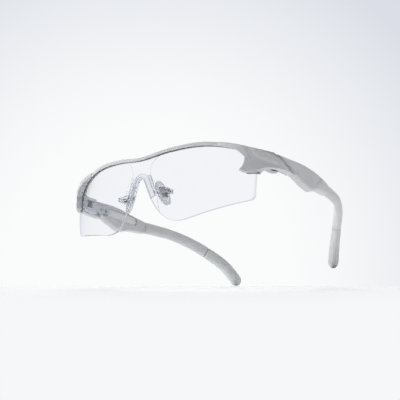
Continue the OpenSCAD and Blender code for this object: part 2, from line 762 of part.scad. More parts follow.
// The inlay seated in the inner face; grow makes its recess, which is open inwards
module inlay_body(grow) {
    r = inlay_h / 2;
    x0 = inner_x + (grow > 0 ? -bend_depth : inlay_sunk);
    start_y = inlay_end_y - inlay_len + r;
    translate([x0, 0, 0]) rotate([90, 0, 90]) linear_extrude(inner_x + inlay_sunk + inlay_t + grow - x0) {
        for (y = [inlay_end_y - r, start_y]) translate([y, inlay_z]) circle(r = r + grow, $fn = small);
        translate([start_y, inlay_z - r - grow]) square([inlay_len - 2 * r, 2 * (r + grow)]);
    }
}

module temple_inlay() {
    color(silicone) placed() inlay_body(0);
}

// Stems and ear tips, drawn on the left

stem_x = inner_x + 1.75 - bend(shell_end_y);
stem_y = shell_end_y + 0.15;
stem_z = temple_top_z - 6.8;
stem_end_z = tip_r - 0.1;
// Shares of the way backwards, inwards and down, from the shell to the tip's end
stem_shape = [[0, 0, 0], [0.225, 0.087, 0.004], [0.399, 0.171, 0.031], [0.574, 0.341, 0.147],
    [0.74, 0.583, 0.368], [0.906, 0.84, 0.674], [1, 1, 1]];
stem_path = [for (s = stem_shape)
    [stem_x + (tip_x - stem_x) * s[1], stem_y + (tip_y - stem_y) * s[0],
     stem_z + (stem_end_z - stem_z) * s[2]]];
steps = 4;
path = through(stem_path, steps);
grip_start = 4 * steps;

function heading(i) = i == 0 ? [0, 1, 0] : unit(path[min(i + 1, len(path) - 1)] - path[i - 1]);
function across(t) = unit(cross(t, [0, 0, 1]));
function stem_ring(i, h, w, ahead = 0, scale = 1) =
    let (t = heading(i), side = across(t))
    ring(path[i] + t * ahead, side, cross(side, t), h * scale, w * scale);

// A cylinder from point p along direction t, turned so that its seam meets no edge of a loft
seam_a = 12;
module rod(p, t, r, len) {
    translate(p) rotate([0, acos(t[2]), atan2(t[1], t[0])]) rotate([0, 0, seam_a])
        cylinder(r = r, h = len, $fn = small);
}

// Axis of the steel core, from the shell into the stem
core_dir = unit(path[2 * steps] - path[0]);
module core_line(r, spare) {
    rod(path[0] - core_dir * (core_len / 5 - spare), core_dir, r, core_len - 2 * spare);
}

// The stem's round end inside the ear tip
spigot_r = 1.5;
spigot_len = 8;
module spigot(r, len) {
    t = unit(path[grip_start + steps] - path[grip_start]);
    rod(path[grip_start] - t, t, r, len + 1);
}

// The stem narrows a little in height and thickens towards its tip
module ear_stem() {
    slim = 0.5;
    swell = 0.3;
    color(white) placed() {
        difference() {
            loft([for (i = [0:grip_start])
                let (a = 180 * i / grip_start)
                stem_ring(i, stem_h - slim * sin(a), stem_t - swell * cos(a),
                    i == grip_start ? -seat_gap : 0)]);
            core_line(core_r + 0.05, -0.2);
        }
        spigot(spigot_r, spigot_len);
    }
}

module stem_core() {
    color(steel) placed() core_line(core_r, 0);
}

module ear_tip() {
    last = len(path) - 1;
    color([0.80, 0.83, 0.82]) placed() difference() {
        loft(concat(
            [for (i = [grip_start:last])
                let (k = (i - grip_start) / (last - grip_start))
                stem_ring(i, stem_h + (tip_w - stem_h) * k, tip_t - 0.2 * (1 - k))],
            [for (a = [20:20:80]) stem_ring(last, tip_w, tip_t, tip_r * sin(a), cos(a))]));
        spigot(spigot_r + 0.05, spigot_len + 0.2);
        translate([tip_x - 2 * tip_w, tip_y - 2 * tip_w, -tip_w]) cube([4 * tip_w, 4 * tip_w, tip_w]);
    }
}

brow_frame();
shield_lens();
nose_bridge();
pad_arm();  // pad_arm_left
mirrored() pad_arm();  // pad_arm_right
pad_pins();
pad_core();  // pad_core_left
mirrored() pad_core();  // pad_core_right
nose_pad();  // nose_pad_left
mirrored() nose_pad();  // nose_pad_right
hinge_bracket();  // hinge_bracket_left
mirrored() hinge_bracket();  // hinge_bracket_right
bracket_screws();
hinge_pin();  // hinge_pin_left
mirrored() hinge_pin();  // hinge_pin_right
temple_knuckle();  // temple_knuckle_left
mirrored() temple_knuckle();  // temple_knuckle_right
knuckle_screws();  // knuckle_screws_left
mirrored() knuckle_screws();  // knuckle_screws_right
temple_shell();  // temple_shell_left
mirrored() temple_shell();  // temple_shell_right
temple_inlay();  // temple_inlay_left
mirrored() temple_inlay();  // temple_inlay_right
ear_stem();  // ear_stem_left
mirrored() ear_stem();  // ear_stem_right
stem_core();  // stem_core_left
mirrored() stem_core();  // stem_core_right
ear_tip();  // ear_tip_left
mirrored() ear_tip();  // ear_tip_right
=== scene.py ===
"""Half-rim sports glasses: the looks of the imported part, in metres and in the part's own frame.

+X is the wearer's left, +Y runs from the lens back to the ears, and Z is up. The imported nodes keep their
places. Softened skins, stems, tips, pads, inlays and screws are modelled here, and stand for the solids
that they cover. Fields and arguments are in mm where nothing else is said.
"""

from __future__ import annotations

import json
import logging
import math
from dataclasses import dataclass, field
from enum import Enum
from typing import Callable, Sequence

import bmesh
import bpy
from mathutils import Matrix, Vector

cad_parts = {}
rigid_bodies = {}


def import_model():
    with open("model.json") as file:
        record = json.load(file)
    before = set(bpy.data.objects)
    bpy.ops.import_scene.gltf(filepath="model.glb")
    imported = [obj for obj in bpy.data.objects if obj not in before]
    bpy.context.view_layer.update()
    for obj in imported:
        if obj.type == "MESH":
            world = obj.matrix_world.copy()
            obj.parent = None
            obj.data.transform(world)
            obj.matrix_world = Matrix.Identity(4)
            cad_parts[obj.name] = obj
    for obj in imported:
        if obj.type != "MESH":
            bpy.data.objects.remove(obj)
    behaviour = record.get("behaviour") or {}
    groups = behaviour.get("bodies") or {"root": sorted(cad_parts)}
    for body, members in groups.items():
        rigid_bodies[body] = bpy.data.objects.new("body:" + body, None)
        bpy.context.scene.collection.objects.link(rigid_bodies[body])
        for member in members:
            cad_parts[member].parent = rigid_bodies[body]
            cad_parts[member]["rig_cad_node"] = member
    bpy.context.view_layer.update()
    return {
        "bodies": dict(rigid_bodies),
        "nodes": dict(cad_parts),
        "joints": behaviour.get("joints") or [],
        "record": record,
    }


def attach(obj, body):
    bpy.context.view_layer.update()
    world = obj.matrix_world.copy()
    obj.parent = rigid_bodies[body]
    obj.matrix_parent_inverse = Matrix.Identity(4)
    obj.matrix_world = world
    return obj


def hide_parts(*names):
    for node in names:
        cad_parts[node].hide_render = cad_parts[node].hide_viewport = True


Piece = bpy.types.Object
Socket = bpy.types.NodeSocket
Pair = tuple[float, float]
Triple = tuple[float, float, float]
Line = tuple[Pair, ...]

LOG = logging.getLogger("sports_glasses")
MM = 0.001
MIDDLE_Y = 75.2979


class Side(Enum):
    """The wearer's two sides."""

    LEFT = 1
    RIGHT = -1

    @property
    def word(self) -> str:
        """The side's name, as the nodes and bodies end."""
        return self.name.lower()


def place(x: float, y: float, z: float) -> Vector:
    """A point of the part's frame.

    Args:
        x: Distance from the centre line, in mm.
        y: Distance behind the front's foremost face, in mm.
        z: Height, in mm.

    Returns:
        The point in metres.
    """
    return Vector((x, y - MIDDLE_Y, z)) * MM


def linked(name: str, data: bpy.types.ID) -> Piece:
    """A new object in the scene.

    Args:
        name: Its name.
        data: Its mesh, lamp or camera.

    Returns:
        The object.
    """
    made = bpy.data.objects.new(name, data)
    bpy.context.scene.collection.objects.link(made)
    return made


# Finishes


class Graph:
    """Nodes of one material or world, added one after the other."""

    def __init__(self, owner: bpy.types.Material | bpy.types.World) -> None:
        """Starts with an empty graph.

        Args:
            owner: The material or world.
        """
        owner.use_nodes = True
        self.owner = owner
        self.tree = owner.node_tree
        self.tree.nodes.clear()

    def join(self, start: Socket, end: Socket) -> None:
        """Links two sockets."""
        self.tree.links.new(start, end)

    def add(self, kind: str, *sources: Socket, **settings: object) -> bpy.types.Node:
        """A new node.

        Args:
            kind: The node's type.
            sources: What its first inputs take, in order.
            settings: Attributes of the node.

        Returns:
            The node.
        """
        node = self.tree.nodes.new(kind)
        for key, value in settings.items():
            setattr(node, key, value)
        for source, taker in zip(sources, node.inputs):
            self.join(source, taker)
        return node

    def blend(self, share: Socket, first: Socket | Triple, second: Socket | Triple) -> Socket:
        """A mix of two colours.

        Args:
            share: Share of the second.
            first: The first colour, or the socket that gives it.
            second: The second colour, or the socket that gives it.

        Returns:
            The mixed colour.
        """
        mix = self.add("ShaderNodeMix", data_type="RGBA")
        self.join(share, mix.inputs["Factor"])
        for key, colour in (("A", first), ("B", second)):
            if isinstance(colour, Socket):
                self.join(colour, mix.inputs[key])
            else:
                mix.inputs[key].default_value = (*colour, 1)
        return mix.outputs["Result"]

    def noise(self, scale: float, detail: float = 3.0, stretch: Triple = (1.0, 1.0, 1.0)) -> Socket:
        """Noise over the piece's own coordinates.

        Args:
            scale: Waves in a metre.
            detail: Octaves.
            stretch: Factors of the scale along the three axes.

        Returns:
            The noise's value, from 0 to 1.
        """
        stretched = self.add("ShaderNodeMapping", self.add("ShaderNodeTexCoord").outputs["Object"])
        stretched.inputs["Scale"].default_value = stretch
        waves = self.add("ShaderNodeTexNoise", stretched.outputs["Vector"])
        waves.inputs["Scale"].default_value = scale
        waves.inputs["Detail"].default_value = detail
        return waves.outputs["Fac"]

    def spread(self, value: Socket, low: float, high: float,
               start: float = 0.3, end: float = 0.7) -> Socket:
        """Another range for a value.

        Args:
            value: The value.
            low: What start becomes.
            high: What end becomes.
            start: The value's own range starts here.
            end: The value's own range ends here.

        Returns:
            The new value.
        """
        ranged = self.add("ShaderNodeMapRange", value)
        for key, number in (("From Min", start), ("From Max", end), ("To Min", low), ("To Max", high)):
            ranged.inputs[key].default_value = number
        return ranged.outputs["Result"]

    def seen(self) -> Socket:
        """Tells what is looked at from what gives light.

        Returns:
            1 for what the camera sees, also mirrored or through something clear, or else 0.
        """
        rays = self.add("ShaderNodeLightPath").outputs
        mirrored = self.add("ShaderNodeMath", rays["Is Glossy Ray"], rays["Is Transmission Ray"],
                            operation="MAXIMUM")
        return self.add("ShaderNodeMath", rays["Is Camera Ray"], mirrored.outputs["Value"],
                        operation="MAXIMUM").outputs["Value"]


@dataclass(frozen=True)
class Finish:
    """A surface: colour, gloss, grain and wear as it is made and used, and, where set, painted shade that
    darkens its crevices.
    """

    name: str
    slot: str
    colour: Triple
    worn: Triple
    roughness: float
    roughness_spread: float = 0.06
    grain: float = 2500.0
    grain_depth: float = 0.02
    grain_strength: float = 0.5
    streak: Triple = (1.0, 1.0, 1.0)
    metallic: float = 0.0
    ior: float = 1.46
    transmission: float = 0.0
    coat: float = 0.0
    coat_roughness: float = 0.12
    sheen: float = 0.0
    subsurface: float = 0.0
    subsurface_reach: float = 1.0
    edge_radius: float = 0.12
    edge_wear: float = 0.5
    edge_range: Pair = (0.9, 0.995)
    edge_patches: bool = True
    patch_waves: float = 700.0
    patch_range: Pair = (0.45, 0.6)
    cloud_waves: float = 120.0
    mottle: float = 0.03
    # Painted shade in crevices: how much the colour is darkened, how far the occlusion rays reach, and
    # their range.
    crevice: float = 0.0
    crevice_reach: float = 4.0
    crevice_range: Pair = (0.15, 0.75)

    def material(self) -> bpy.types.Material:
        """The finish as a material.

        Returns:
            The material.
        """
        g = Graph(bpy.data.materials.new(self.name))
        shader = g.add("ShaderNodeBsdfPrincipled")
        g.add("ShaderNodeOutputMaterial", shader.outputs["BSDF"])
        plain = {"Metallic": self.metallic, "IOR": self.ior, "Transmission Weight": self.transmission,
                 "Coat Weight": self.coat, "Sheen Weight": self.sheen, "Subsurface Weight": self.subsurface}
        for key, number in plain.items():
            shader.inputs[key].default_value = number
        if self.subsurface:
            shader.inputs["Subsurface Scale"].default_value = self.subsurface_reach * MM
            shader.inputs["Subsurface Radius"].default_value = (1.0, 1.0, 1.0)
        if self.coat:
            shader.inputs["Coat Roughness"].default_value = self.coat_roughness
        cloud = g.noise(self.cloud_waves, detail=4.0)
        glossy, dull = self.roughness - self.roughness_spread, self.roughness + self.roughness_spread
        g.join(g.spread(cloud, glossy, dull), shader.inputs["Roughness"])
        self.paint(g, shader, cloud)
        self.relief(g, shader)
        return g.owner

    def paint(self, g: Graph, shader: bpy.types.Node, cloud: Socket) -> None:
        """Joins the colour: mottled a little, worn along the edges, and darkened in creases and deep places
        as painted shade.

        Args:
            g: The material's graph.
            shader: The shader that takes the colour.
            cloud: Slow noise.
        """
        darker = tuple(c * (1 - self.mottle) for c in self.colour)
        lighter = tuple(min(c * (1 + self.mottle), 1.0) for c in self.colour)
        colour = g.blend(self.edge_mask(g), g.blend(g.spread(cloud, 0, 1), darker, lighter), self.worn)
        # Painted shade: ambient occlusion darkens the colour in creases, slits and seams.
        if self.crevice:
            open_sky = g.add("ShaderNodeAmbientOcclusion", samples=8)
            open_sky.inputs["Distance"].default_value = self.crevice_reach * MM
            painted_crevice_shade = tuple(c * (1 - self.crevice) for c in self.colour)
            colour = g.blend(g.spread(open_sky.outputs["AO"], 0, 1, *self.crevice_range), painted_crevice_shade, colour)
        g.join(colour, shader.inputs["Base Color"])

    def rounded(self, g: Graph, times: float) -> Socket:
        """Normals as if the edges were round.

        Args:
            g: The material's graph.
            times: How many times the finish's edge radius they are round.

        Returns:
            The normals.
        """
        bevel = g.add("ShaderNodeBevel", samples=4)
        bevel.inputs["Radius"].default_value = self.edge_radius * times * MM
        return bevel.outputs["Normal"]

    def edge_mask(self, g: Graph) -> Socket:
        """Where edges differ: near a sharp edge, in patches where they are rubbed.

        Args:
            g: The material's graph.

        Returns:
            A value from 0 to the finish's edge wear.
        """
        facing = g.add("ShaderNodeNewGeometry").outputs["Normal"]
        dot = g.add("ShaderNodeVectorMath", self.rounded(g, 2), facing, operation="DOT_PRODUCT")
        edge = g.spread(dot.outputs["Value"], self.edge_wear, 0.0, *self.edge_range)
        if not self.edge_patches:
            return edge
        patches = g.spread(g.noise(self.patch_waves), 0, 1, *self.patch_range)
        return g.add("ShaderNodeMath", edge, patches, operation="MULTIPLY").outputs["Value"]

    def relief(self, g: Graph, shader: bpy.types.Node) -> None:
        """Joins the fine grain, over edges that are rounded for the light unless the piece is clear.

        Args:
            g: The material's graph.
            shader: The shader that takes the normal.
        """
        bump = g.add("ShaderNodeBump")
        bump.inputs["Strength"].default_value = self.grain_strength
        bump.inputs["Distance"].default_value = self.grain_depth * MM
        g.join(g.noise(self.grain, detail=2.0, stretch=self.streak), bump.inputs["Height"])
        if not self.transmission:
            g.join(self.rounded(g, 1), bump.inputs["Normal"])
        g.join(bump.outputs["Normal"], shader.inputs["Normal"])


# The white plastic has painted shade that darkens its crevices.
WHITE_PLASTIC = Finish("white_moulded_plastic", "white_plastic", (0.65, 0.655, 0.67), (0.79, 0.795, 0.80),
                       0.34, grain=1800, grain_depth=0.006, ior=1.5, coat=0.15, subsurface=0.05,
                       edge_wear=0.35, mottle=0.012, crevice=0.5)
CLEAR_LENS = Finish("clear_polycarbonate", "clear_lens", (0.93, 0.935, 0.96), (0.5, 0.51, 0.54), 0.022,
                    roughness_spread=0.006, grain=300, grain_depth=0.001, ior=1.2, transmission=1.0,
                    edge_radius=0.13, edge_wear=0.85, edge_patches=False, mottle=0.005)
CLEAR_CARRIER = Finish("clear_moulded_carrier", "clear_carrier", (0.88, 0.885, 0.905), (0.66, 0.66, 0.69),
                       0.1, roughness_spread=0.04, grain=900, grain_depth=0.004, ior=1.25,
                       transmission=0.94, edge_radius=0.1, edge_wear=0.6, edge_patches=False, mottle=0.02)
SILICONE = Finish("pad_silicone_skin", "pad_silicone", (0.86, 0.88, 0.875), (0.90, 0.91, 0.91), 0.3,
                  grain=3000, grain_depth=0.006, ior=1.2, transmission=0.66, edge_wear=0.1)
TIP_RUBBER = Finish("soft_tip_rubber", "tip_rubber", (0.625, 0.64, 0.64), (0.58, 0.595, 0.595), 0.5,
                    grain=3500, grain_depth=0.012, sheen=0.08, subsurface=0.08, edge_wear=0.2)
SOFT_INLAY = Finish("soft_touch_inlay", "soft_inlay", (0.83, 0.84, 0.845), (0.77, 0.785, 0.79), 0.55,
                    grain=3500, grain_depth=0.012, sheen=0.1, edge_wear=0.25)
STEEL = Finish("turned_steel", "steel", (0.56, 0.57, 0.59), (0.7, 0.7, 0.71), 0.3,
               roughness_spread=0.1, grain=6000, grain_depth=0.004, streak=(0.08, 1, 1), metallic=1.0,
               edge_radius=0.08, edge_wear=0.8, mottle=0.06)
DARK_STEEL = Finish("darkened_steel_strip", "dark_steel", (0.52, 0.525, 0.53), (0.58, 0.58, 0.59), 0.45,
                    roughness_spread=0.1, grain=6000, grain_depth=0.004, streak=(1, 1, 0.08), metallic=0.6,
                    edge_radius=0.08, edge_wear=0.7, mottle=0.08)


class Finishes:
    """The materials, each made once."""

    def __init__(self) -> None:
        """Starts with none made."""
        self.made: dict[str, bpy.types.Material] = {}

    def dress(self, piece: Piece, finish: Finish) -> None:
        """Gives a piece its finish.

        Args:
            piece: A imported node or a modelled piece.
            finish: Its finish.
        """
        if finish.name not in self.made:
            self.made[finish.name] = finish.material()
        piece.data.materials.clear()
        piece.data.materials.append(self.made[finish.name])


# Modelling


@dataclass(frozen=True)
class Station:
    """One section of a swept piece in metres, square to its heading."""

    centre: Vector
    heading: Vector
    wide: float
    high: float

    @property
    def axes(self) -> Matrix:
        """Columns across, upwards and along the heading.

        Returns:
            The columns.
        """
        along = self.heading.normalized()
        across = Vector((0, 0, 1)).cross(along).normalized()
        return Matrix((across, along.cross(across), along)).transposed()


class Bench:
    """Blender's modelling operators, used as by hand."""

    corners = 16
    least_turn = 1e-7
    weld = 1e-6
    outward = 0.3

    @staticmethod
    def clear() -> None:
        """Leaves edit mode and deselects everything."""
        if bpy.context.object and bpy.context.object.mode == "EDIT":
            bpy.ops.object.mode_set(mode="OBJECT")
        bpy.ops.object.select_all(action="DESELECT")

    @classmethod
    def take(cls, piece: Piece) -> None:
        """Selects a piece alone.

        Args:
            piece: The piece.
        """
        cls.clear()
        piece.select_set(True)
        bpy.context.view_layer.objects.active = piece

    @classmethod
    def edit(cls, piece: Piece) -> None:
        """Opens a piece in edit mode with all of it selected.

        Args:
            piece: The piece.
        """
        cls.take(piece)
        bpy.ops.object.mode_set(mode="EDIT")
        bpy.ops.mesh.select_mode(type="VERT")
        bpy.ops.mesh.select_all(action="SELECT")

    @staticmethod
    def close() -> None:
        """Turns all faces of the open piece outwards and leaves edit mode."""
        bpy.ops.mesh.select_all(action="SELECT")
        bpy.ops.mesh.normals_make_consistent(inside=False)
        bpy.ops.object.mode_set(mode="OBJECT")

    @classmethod
    def turn(cls, matrix: Matrix, centre: Vector) -> None:
        """Turns what is selected; with no window each turn runs the other way.

        Args:
            matrix: The turn.
            centre: The point that stays.
        """
        for axis, angle in zip("XYZ", matrix.to_euler("XYZ")):
            if abs(angle) > cls.least_turn:
                bpy.ops.transform.rotate(value=-angle, orient_axis=axis, center_override=centre)

    @staticmethod
    def scale(sizes: Sequence[float], axes: Matrix, centre: Vector) -> None:
        """Scales what is selected along the columns of axes."""
        bpy.ops.transform.resize(value=sizes, orient_type="GLOBAL", orient_matrix=axes,
                                 orient_matrix_type="GLOBAL", center_override=centre)

    @classmethod
    def sweep(cls, name: str, stations: Sequence[Station]) -> Piece:
        """A closed body through sections, extruded from the first to the last.

        Args:
            name: The piece's name.
            stations: The sections, in order.

        Returns:
            The piece.
        """
        cls.clear()
        bpy.ops.mesh.primitive_circle_add(vertices=cls.corners, radius=0.5, fill_type="NGON",
                                          location=(0, 0, 0))
        piece = bpy.context.object
        piece.name = piece.data.name = name
        cls.edit(piece)
        centre, axes, wide, high = Vector(), Matrix.Identity(3), 1.0, 1.0
        for number, s in enumerate(stations):
            if number:
                bpy.ops.mesh.extrude_region_move(TRANSFORM_OT_translate={"value": s.centre - centre})
            else:
                bpy.ops.transform.translate(value=s.centre)
            cls.turn(s.axes @ axes.inverted(), s.centre)
            cls.scale((s.wide / wide, s.high / high, 1), s.axes, s.centre)
            centre, axes, wide, high = s.centre, s.axes, s.wide, s.high
        cls.close()
        return piece

    @staticmethod
    def select(piece: Piece, wanted: Callable[[bmesh.types.BMFace], bool]) -> None:
        """Selects faces in edit mode by place or normal.

        Args:
            piece: The piece in edit mode.
            wanted: Says whether a face is selected.
        """
        bpy.ops.mesh.select_mode(type="FACE")
        bpy.ops.mesh.select_all(action="DESELECT")
        for face in bmesh.from_edit_mesh(piece.data).faces:
            face.select_set(wanted(face))
        bmesh.update_edit_mesh(piece.data)

    @classmethod
    def apply(cls, piece: Piece, kind: str, **settings: object) -> None:
        """Adds a modifier and applies it.

        Args:
            piece: The piece, which is selected alone afterwards.
            kind: The modifier's type.
            settings: Its settings.
        """
        cls.take(piece)
        modifier = piece.modifiers.new(kind.lower(), kind)
        for key, value in settings.items():
            setattr(modifier, key, value)
        bpy.ops.object.modifier_apply(modifier=modifier.name)

    @classmethod
    def smooth(cls, piece: Piece, levels: int) -> None:
        """Subdivides a piece and shades it smooth."""
        cls.apply(piece, "SUBSURF", levels=levels, render_levels=levels)
        bpy.ops.object.shade_smooth()

    @classmethod
    def skin_of(cls, name: str, node: Piece, grain: float, rounds: int) -> Piece:
        """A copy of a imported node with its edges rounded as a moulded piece's are.

        Args:
            name: The copy's name.
            node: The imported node.
            grain: Size of the copy's faces.
            rounds: How often its points are eased.

        Returns:
            The copy.
        """
        piece = linked(name, node.data.copy())
        cls.edit(piece)
        bpy.ops.mesh.remove_doubles(threshold=cls.weld)
        cls.apply(piece, "REMESH", mode="VOXEL", voxel_size=grain * MM, adaptivity=0.0)
        cls.edit(piece)
        bpy.ops.mesh.vertices_smooth(factor=0.5, repeat=rounds)
        bpy.ops.object.mode_set(mode="OBJECT")
        bpy.ops.object.shade_smooth()
        return piece

    @classmethod
    def press(cls, piece: Piece, depth: Callable[[Vector], float]) -> None:
        """Presses the outward faces of a piece inwards, alike on both sides.

        Args:
            piece: The piece.
            depth: How deep a point of the left side goes, which is given by its distances from the
                centre line, behind the front and above the ground.
        """
        normals = [vertex.normal.copy() for vertex in piece.data.vertices]
        for vertex, normal in zip(piece.data.vertices, normals):
            side = 1 if vertex.co.x > 0 else -1
            facing = normal.x * side
            if facing > cls.outward:
                spot = Vector((vertex.co.x * side / MM, vertex.co.y / MM + MIDDLE_Y, vertex.co.z / MM))
                level = Vector((normal.x, normal.y, 0)).normalized()
                share = min((facing - cls.outward) / cls.outward, 1.0)
                vertex.co -= level * depth(spot) * MM * share

    @classmethod
    def both(cls, left: Piece) -> dict[Side, Piece]:
        """A piece with its copy on the other side, which has a mesh of its own.

        Args:
            left: The piece on the left, with left at the end of its name.

        Returns:
            The two pieces.
        """
        right = linked(left.name.replace(Side.LEFT.word, Side.RIGHT.word), left.data.copy())
        cls.edit(right)
        cls.scale((-1, 1, 1), Matrix.Identity(3), Vector())
        cls.close()
        return {Side.LEFT: left, Side.RIGHT: right}


def through(points: Sequence[Vector], steps: int) -> list[Vector]:
    """One smooth curve through all points.

    Args:
        points: The points.
        steps: Steps from one point to the next.

    Returns:
        The curve's points.
    """
    last = len(points) - 1
    slopes = [(points[min(i + 1, last)] - points[max(i - 1, 0)]) / 2 for i in range(last + 1)]
    curve = []
    for i in range(last):
        for k in range(steps):
            t = k / steps
            curve.append((2 * t**3 - 3 * t**2 + 1) * points[i] + (t**3 - 2 * t**2 + t) * slopes[i]
                         + (3 * t**2 - 2 * t**3) * points[i + 1] + (t**3 - t**2) * slopes[i + 1])
    return curve + [points[last]]


def below(spot: Vector, line: Line) -> float:
    """How far a point lies below a line that is drawn on the outer face, seen from the side.

    Args:
        spot: The point.
        line: The line's points as distance behind the front and height, going back.

    Returns:
        The distance, less than 0 above the line.
    """
    best, sign = math.inf, 1.0
    for (ay, az), (by, bz) in zip(line, line[1:]):
        dy, dz = by - ay, bz - az
        t = min(max(((spot.y - ay) * dy + (spot.z - az) * dz) / (dy * dy + dz * dz), 0.0), 1.0)
        away = math.hypot(spot.y - ay - t * dy, spot.z - az - t * dz)
        if away < best:
            best, sign = away, -1.0 if dy * (spot.z - az) - dz * (spot.y - ay) > 0 else 1.0
    return best * sign


def ease(value: float, start: float = 0.0, end: float = 1.0) -> float:
    """A smooth step that is 0 at start and 1 at end."""
    t = min(max((value - start) / (end - start), 0.0), 1.0)
    return t * t * (3 - 2 * t)


# The pieces


@dataclass
class Shop:
    """What every sub-assembly works with."""

    frame: dict
    finishes: Finishes = field(default_factory=Finishes)

    def keep(self, node: str, finish: Finish) -> None:
        """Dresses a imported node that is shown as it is."""
        self.finishes.dress(self.frame["nodes"][node], finish)
        LOG.info("node %s: %s", node, finish.name)

    def fit(self, piece: Piece, finish: Finish, body: str, *nodes: str) -> None:
        """Dresses a modelled piece and lets it ride on its body.

        Args:
            piece: The piece.
            finish: Its finish.
            body: The body that carries it.
            nodes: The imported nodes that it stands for.
        """
        self.finishes.dress(piece, finish)
        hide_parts(*nodes)
        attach(piece, body)
        faces = len(piece.data.polygons)
        LOG.info("piece %s: %s, on %s, %d faces", piece.name, finish.name, body, faces)


@dataclass
class Front:
    """The brow bar with its shoulders, the lens and the nose bridge."""

    shop: Shop
    skin_grain: float = 0.18
    easing: int = 7
    relief_from: float = 50.0
    ridge: Line = ((20.6, 38.5), (21.7, 35.6), (22.1, 34.0), (24.0, 32.4), (26.9, 31.4), (29.8, 30.9),
                   (35.1, 29.7), (40.3, 28.4))
    hollow: float = 0.65
    hollow_width: float = 1.7
    swell: float = 1.15
    swell_width: float = 4.5
    swell_wider: float = 4.0
    wider_between: Pair = (28.0, 22.0)
    lift: float = 0.8
    lift_width: float = 4.0
    lift_between: Pair = (40.0, 32.0)
    rim: Line = ((53.6, 22.8), (55.2, 26.0), (55.9, 29.8), (54.8, 34.0), (50.0, 42.0))
    rim_above: float = 54.5
    rim_between: Pair = (0.3, 1.9)
    foot_between: Pair = (23.2, 24.4)
    back_between: Pair = (40.0, 31.0)
    front_between: Pair = (14.5, 22.0)
    slit_edge: Line = ((32.0, 35.2), (48.5, 26.5))
    edge_depth: float = 0.45
    edge_width: float = 1.2

    def build(self) -> None:
        """Makes and dresses the front."""
        nodes = self.shop.frame["nodes"]
        bar = Bench.skin_of("brow_bar_skin", nodes["brow_frame"], self.skin_grain, self.easing)
        Bench.press(bar, self.relief)
        self.shop.fit(bar, WHITE_PLASTIC, "front", "brow_frame")
        self.shop.keep("shield_lens", CLEAR_LENS)
        self.shop.keep("nose_bridge", CLEAR_CARRIER)
        for name in ("shield_lens", "nose_bridge"):
            nodes[name].visible_shadow = False

    def rim_at(self, height: float) -> float:
        """Where the lens's rim ends on the outer face.

        Args:
            height: Height above the ground.

        Returns:
            The distance from the centre line.
        """
        for (low_x, low_z), (high_x, high_z) in zip(self.rim, self.rim[1:]):
            if height < high_z:
                return low_x + (high_x - low_x) * (height - low_z) / (high_z - low_z)
        return self.rim_above

    def relief(self, spot: Vector) -> float:
        """The hollow hook, the raised band above it and the rounded edge at the slit.

        Args:
            spot: A point of the outer face.

        Returns:
            How deep the face lies there.
        """
        if spot.x < self.relief_from:
            return 0.0
        under = below(spot, self.ridge)
        if under > 0:
            wide = self.swell_width + self.swell_wider * ease(spot.y, *self.wider_between)
            back_out = self.swell * ease((under - self.hollow_width) / wide)
            depth = self.hollow * ease(under / self.hollow_width) - back_out
            depth *= ease(spot.x - self.rim_at(spot.z), *self.rim_between)
            depth *= ease(spot.z, *self.foot_between)
            depth *= ease(spot.y, *self.back_between) * ease(spot.y, *self.front_between)
        else:
            depth = self.lift * min(-under / self.lift_width, 1.0) * ease(spot.y, *self.lift_between)
        ahead = below(spot, self.slit_edge)
        return depth + self.edge_depth * ease(ahead, self.edge_width, 0.0) * (ahead > 0)


@dataclass
class NosePads:
    """The soft pads with their cores, and the arms that hold them."""

    shop: Shop
    middle: Triple = (10.2, 7.8, 17.5)
    length: float = 15.6
    width: float = 7.7
    thickness: float = 2.8
    lean: float = 22.0
    splay: float = 20.0
    rings: int = 12
    end_gap: float = 0.35
    bluntness: float = 2.4
    flatness: float = 0.6
    narrowing: float = 0.1
    bow: float = 0.0001
    heading: Triple = (0.0, 0.001, 1.0)

    def build(self) -> None:
        """Makes and dresses both sides."""
        for side, pad in Bench.both(self.pad()).items():
            self.shop.fit(pad, SILICONE, f"pad_{side.word}", f"nose_pad_{side.word}")
            pad.visible_shadow = False
            self.shop.keep(f"pad_core_{side.word}", DARK_STEEL)
            self.shop.keep(f"pad_arm_{side.word}", CLEAR_CARRIER)
        self.shop.keep("pad_pins", STEEL)

    def pad(self) -> Piece:
        """The left pad: a long drop, thinner towards its edge and narrower towards its top.

        Returns:
            The pad.
        """
        stations = []
        for i in range(self.rings + 1):
            v = -math.cos(math.pi * (i + self.end_gap) / (self.rings + 2 * self.end_gap))
            full = math.sqrt(1 - abs(v) ** self.bluntness)
            spot = Vector((0, self.bow * v, v * self.length / 2)) * MM
            wide = self.thickness * full**self.flatness * MM
            high = self.width * full * (1 - self.narrowing * v) * MM
            stations.append(Station(spot, Vector(self.heading), wide, high))
        pad = Bench.sweep("soft_pad_left", stations)
        pad.data.transform(Matrix.Translation(place(*self.middle))
                           @ Matrix.Rotation(-math.radians(self.lean), 4, "Y")
                           @ Matrix.Rotation(-math.radians(self.splay), 4, "Z"))
        Bench.smooth(pad, 2)
        return pad


